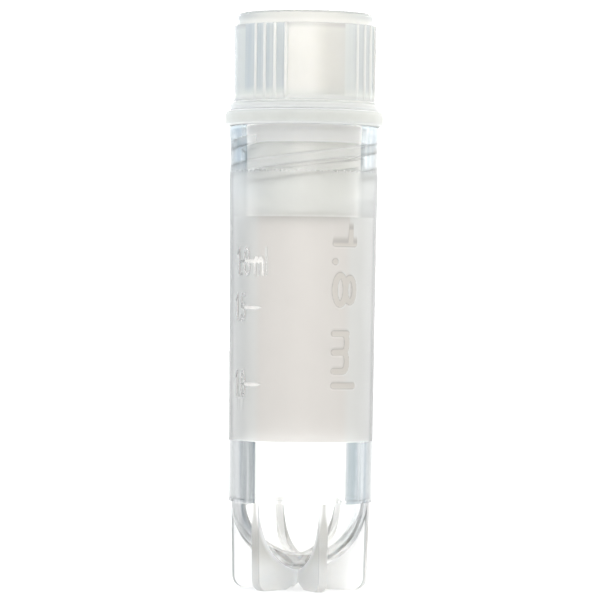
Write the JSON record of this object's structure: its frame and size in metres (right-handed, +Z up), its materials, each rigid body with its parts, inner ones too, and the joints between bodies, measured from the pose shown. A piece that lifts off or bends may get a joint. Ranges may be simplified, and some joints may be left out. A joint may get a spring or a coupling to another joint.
{
  "type": "cryovial",
  "caption": "Cryogenic storage tube with an internal-thread screw cap, a sealing ring, a round bottom and a star foot.",
  "frame": {"origin": "middle of the star foot's underside, on the tube's axis, at the height that it stands on", "axes": "+Z up along the tube's axis, -Y towards the front (the side from which the graduations are a little to the left), +X to the front's right"},
  "size_m": [0.0132, 0.0132, 0.048],
  "materials": {
    "clear_polypropylene": "clear natural polypropylene, satin between the foot and the neck",
    "natural_polypropylene": "milky natural polypropylene, smooth",
    "silicone": "translucent matt silicone"
  },
  "bodies": {
    "tube": {"vial": "clear_polypropylene"},
    "ring": {"gasket": "silicone"},
    "screw_cap": {"cap": "natural_polypropylene"}
  },
  "joints": [
    {"name": "cap_lift", "type": "slide", "parent": "tube", "child": "ring", "axis": [0, 0, 1], "range_m": [0, 0.00525]},
    {"name": "cap_turn", "type": "hinge", "parent": "ring", "child": "screw_cap", "pos_m": [0, 0, 0.0386], "axis": [0, 0, 1], "range_deg": [0, 450]}
  ],
  "couplings": [
    {"joint": "cap_turn", "follows": "cap_lift", "rad_per_m": 1496}
  ]
}
